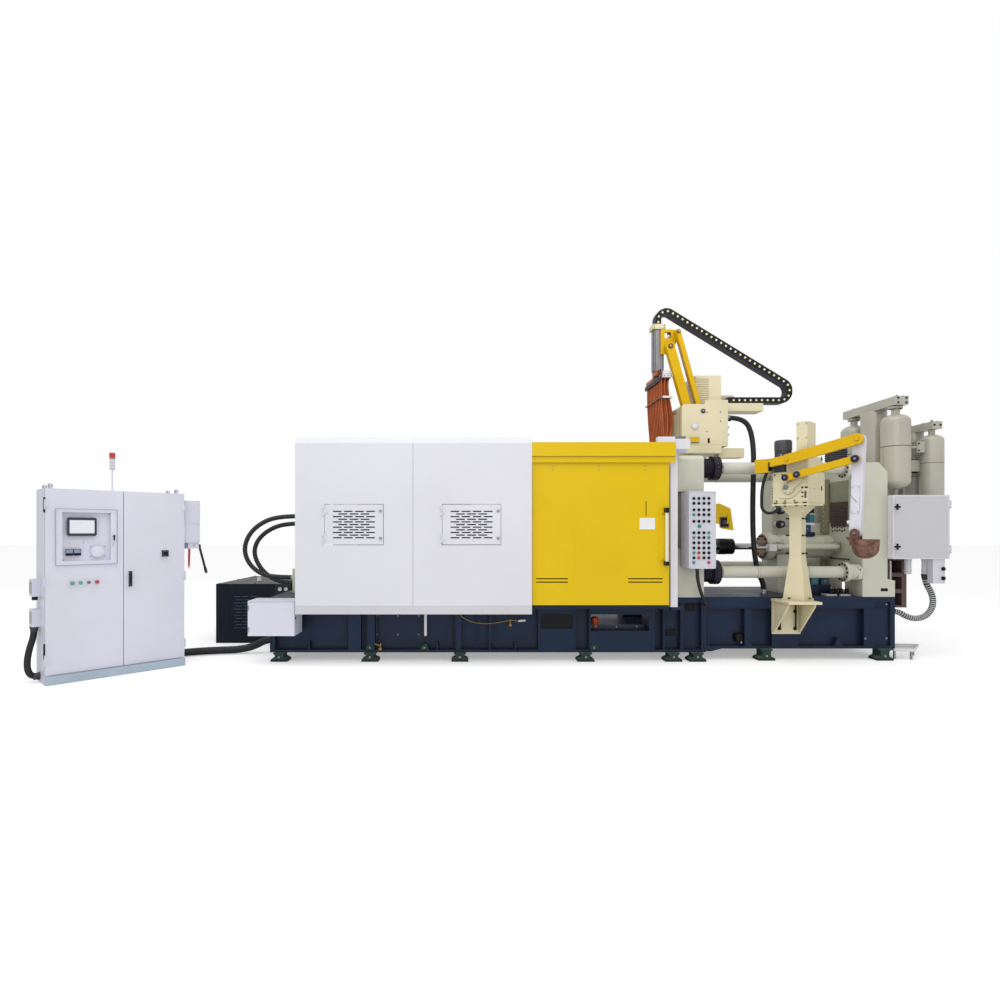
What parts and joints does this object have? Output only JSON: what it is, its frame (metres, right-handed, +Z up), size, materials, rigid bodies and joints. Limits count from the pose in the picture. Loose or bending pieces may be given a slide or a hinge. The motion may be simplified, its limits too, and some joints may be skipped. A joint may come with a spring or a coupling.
{
  "type": "cold chamber die casting machine",
  "caption": "Cold chamber die casting machine with guarded clamp unit, shot unit with accumulators, ladling arm, spray arm, oil tank and control cabinet.",
  "frame": {"origin": "on the floor under the middle of the whole plant", "axes": "+X from the clamp end to the shot end, +Y away from the operator, +Z up"},
  "size_m": [10.2654, 3.7359, 4.3182],
  "materials": {
    "base_paint": "satin",
    "guard_white": "satin",
    "door_yellow": "gloss",
    "arm_yellow": "gloss",
    "platen_paint": "satin",
    "cream_paint": "satin",
    "post_grey": "satin",
    "panel_grey": "satin",
    "cabinet_paint": "satin",
    "bottle_paint": "satin",
    "motor_grey": "satin",
    "dark_steel": "satin",
    "bar_steel": "polished",
    "link_steel": "machined",
    "coupling_steel": "oiled",
    "foot_paint": "satin",
    "drop_steel": "satin",
    "ladle_iron": "matt",
    "copper_tube": "oxidised",
    "chain_plastic": "matt",
    "hose_rubber": "matt",
    "lamp": "gloss",
    "lever_plastic": "matt",
    "rack_paint": "satin"
  },
  "bodies": {
    "machine": {"clamp_base": "base_paint", "shot_base": "base_paint", "levelling_feet": "foot_paint", "fixed_platen": "platen_paint", "moving_platen": "platen_paint", "rear_platen": "platen_paint", "tie_bars": "bar_steel", "tie_bar_nuts": "dark_steel", "toggle_links": "link_steel", "clamp_cylinder": "platen_paint", "front_guard": "guard_white", "rear_guard": "guard_white", "door_header": "door_yellow", "guard_posts": "post_grey", "operator_panel": "panel_grey", "shot_frame_rods": "platen_paint", "shot_end_plate": "platen_paint", "shot_cylinder": "platen_paint", "shot_manifold": "platen_paint", "accumulator_bottles": "bottle_paint", "accumulator_manifolds": "bottle_paint", "terminal_box": "guard_white", "ladler_bracket": "cream_paint", "ladler_column": "cream_paint", "ladler_head": "cream_paint", "ladler_motor": "motor_grey", "sprayer_beam": "cream_paint", "sprayer_housing": "cream_paint", "energy_chain": "chain_plastic", "pour_guard": "arm_yellow", "oil_tank": "base_paint", "junction_box": "guard_white", "cabinet": "cabinet_paint", "signal_tower": "lamp", "switch_box": "cabinet_paint", "valve_rack": "rack_paint", "clamp_hose_outer": "hose_rubber", "clamp_hose_inner": "hose_rubber", "sprayer_hose": "hose_rubber", "ladler_hose": "hose_rubber", "terminal_hose": "hose_rubber", "panel_cable": "hose_rubber", "cabinet_cable": "hose_rubber", "floor_cable": "hose_rubber"},
    "sliding_door": {"sliding_door": "door_yellow"},
    "left_access_door": {"left_access_door": "guard_white"},
    "right_access_door": {"right_access_door": "guard_white"},
    "shot_rod": {"shot_rod": "coupling_steel"},
    "ladler_upper_arm": {"ladler_upper_arm": "arm_yellow"},
    "ladler_lower_arm": {"ladler_lower_arm": "arm_yellow"},
    "ladler_drop_arm": {"ladler_drop_arm": "drop_steel"},
    "ladle": {"ladle": "ladle_iron"},
    "sprayer_main_arm": {"sprayer_main_arm": "arm_yellow"},
    "sprayer_link_arm": {"sprayer_link_arm": "arm_yellow"},
    "sprayer_head": {"sprayer_head": "arm_yellow", "spray_tubes": "copper_tube"},
    "terminal_box_door": {"terminal_box_door": "guard_white"},
    "cabinet_left_door": {"cabinet_left_door": "cabinet_paint"},
    "cabinet_right_door": {"cabinet_right_door": "cabinet_paint"},
    "switch_lever": {"switch_lever": "lever_plastic"}
  },
  "joints": [
    {"name": "door_slide", "type": "slide", "parent": "machine", "child": "sliding_door", "axis": [-1, 0, 0], "range_m": [0, 1.4]},
    {"name": "left_access_hinge", "type": "hinge", "parent": "machine", "child": "left_access_door", "pos_m": [-2.294, -1.115, 1.582], "axis": [0, 0, -1], "range_deg": [0, 110]},
    {"name": "right_access_hinge", "type": "hinge", "parent": "machine", "child": "right_access_door", "pos_m": [-1.001, -1.115, 1.582], "axis": [0, 0, -1], "range_deg": [0, 110]},
    {"name": "shot_stroke", "type": "slide", "parent": "machine", "child": "shot_rod", "axis": [-1, 0, 0], "range_m": [-0.35, 0.35]},
    {"name": "ladler_swing", "type": "hinge", "parent": "machine", "child": "ladler_upper_arm", "pos_m": [2.83929, -1.01615, 2.308], "axis": [-0.766, -0.6428, 0], "range_deg": [-35, 25]},
    {"name": "ladler_link", "type": "hinge", "parent": "machine", "child": "ladler_lower_arm", "pos_m": [2.82965, -1.00466, 2.105], "axis": [-0.766, -0.6428, 0], "range_deg": [-35, 25]},
    {"name": "ladler_level", "type": "hinge", "parent": "ladler_upper_arm", "child": "ladler_drop_arm", "pos_m": [3.2796, -1.54089, 2.455], "axis": [-0.766, -0.6428, 0], "range_deg": [-25, 35]},
    {"name": "ladle_tilt", "type": "hinge", "parent": "ladler_drop_arm", "child": "ladle", "pos_m": [3.3069, -1.4723, 1.49], "axis": [-0.766, -0.6428, 0], "range_deg": [-45, 90]},
    {"name": "spray_swing", "type": "hinge", "parent": "machine", "child": "sprayer_main_arm", "pos_m": [2.068, -0.25, 2.798], "axis": [0, -1, 0], "range_deg": [0, 88]},
    {"name": "spray_link", "type": "hinge", "parent": "machine", "child": "sprayer_link_arm", "pos_m": [2.166, -0.25, 2.982], "axis": [0, -1, 0], "range_deg": [0, 88]},
    {"name": "spray_level", "type": "hinge", "parent": "sprayer_main_arm", "child": "sprayer_head", "pos_m": [1.79, -0.25, 3.798], "axis": [0, -1, 0], "range_deg": [-88, 0]},
    {"name": "terminal_box_hinge", "type": "hinge", "parent": "machine", "child": "terminal_box_door", "pos_m": [4.871, -0.761, 1.558], "axis": [0, 0, 1], "range_deg": [0, 115]},
    {"name": "cabinet_left_hinge", "type": "hinge", "parent": "machine", "child": "cabinet_left_door", "pos_m": [-4.83439, -1.86993, 1.01], "axis": [0, 0, -1], "range_deg": [0, 110]},
    {"name": "cabinet_right_hinge", "type": "hinge", "parent": "machine", "child": "cabinet_right_door", "pos_m": [-3.89898, -0.94426, 1.01], "axis": [0, 0, 1], "range_deg": [0, 110]},
    {"name": "lever_turn", "type": "hinge", "parent": "machine", "child": "switch_lever", "pos_m": [-3.84193, -0.71758, 1.335], "axis": [0.7108, 0.7034, 0], "range_deg": [-90, 0]}
  ],
  "couplings": [
    {"joint": "ladler_link", "follows": "ladler_swing", "ratio": 1},
    {"joint": "ladler_level", "follows": "ladler_swing", "ratio": -1},
    {"joint": "spray_link", "follows": "spray_swing", "ratio": 1},
    {"joint": "spray_level", "follows": "spray_swing", "ratio": -1}
  ]
}
